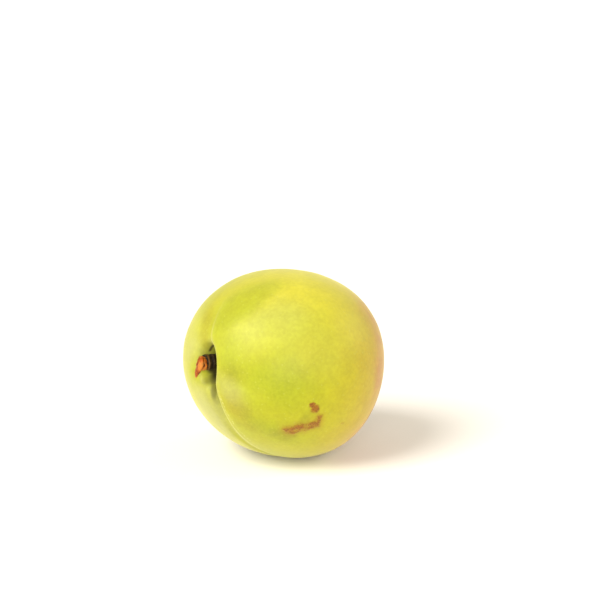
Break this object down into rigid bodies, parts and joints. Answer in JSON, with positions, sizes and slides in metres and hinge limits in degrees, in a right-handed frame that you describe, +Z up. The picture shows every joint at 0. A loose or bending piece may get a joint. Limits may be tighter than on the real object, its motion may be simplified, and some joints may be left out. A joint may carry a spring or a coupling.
{
  "type": "nectarine",
  "caption": "Whole yellow-green nectarine lying on its side, with a stalk stub in its cavity, a seam round one side and a small flat spot to rest on.",
  "frame": {"origin": "on the surface the fruit lies on, under the middle of the part's box", "axes": "+Z up, -X towards the stalk end, which points a little up; -Y the fuller cheek"},
  "size_m": [0.0674, 0.0648, 0.0611],
  "materials": {
    "skin": "yellow-green skin, matte, with a fine pale bloom at grazing angles",
    "stalk_bark": "dark grey-brown rough bark",
    "torn_bark": "orange-brown torn bark, slightly glossy"
  },
  "bodies": {
    "root": {"fruit": "skin", "stem": "stalk_bark", "stem_tip": "torn_bark"}
  },
  "joints": []
}
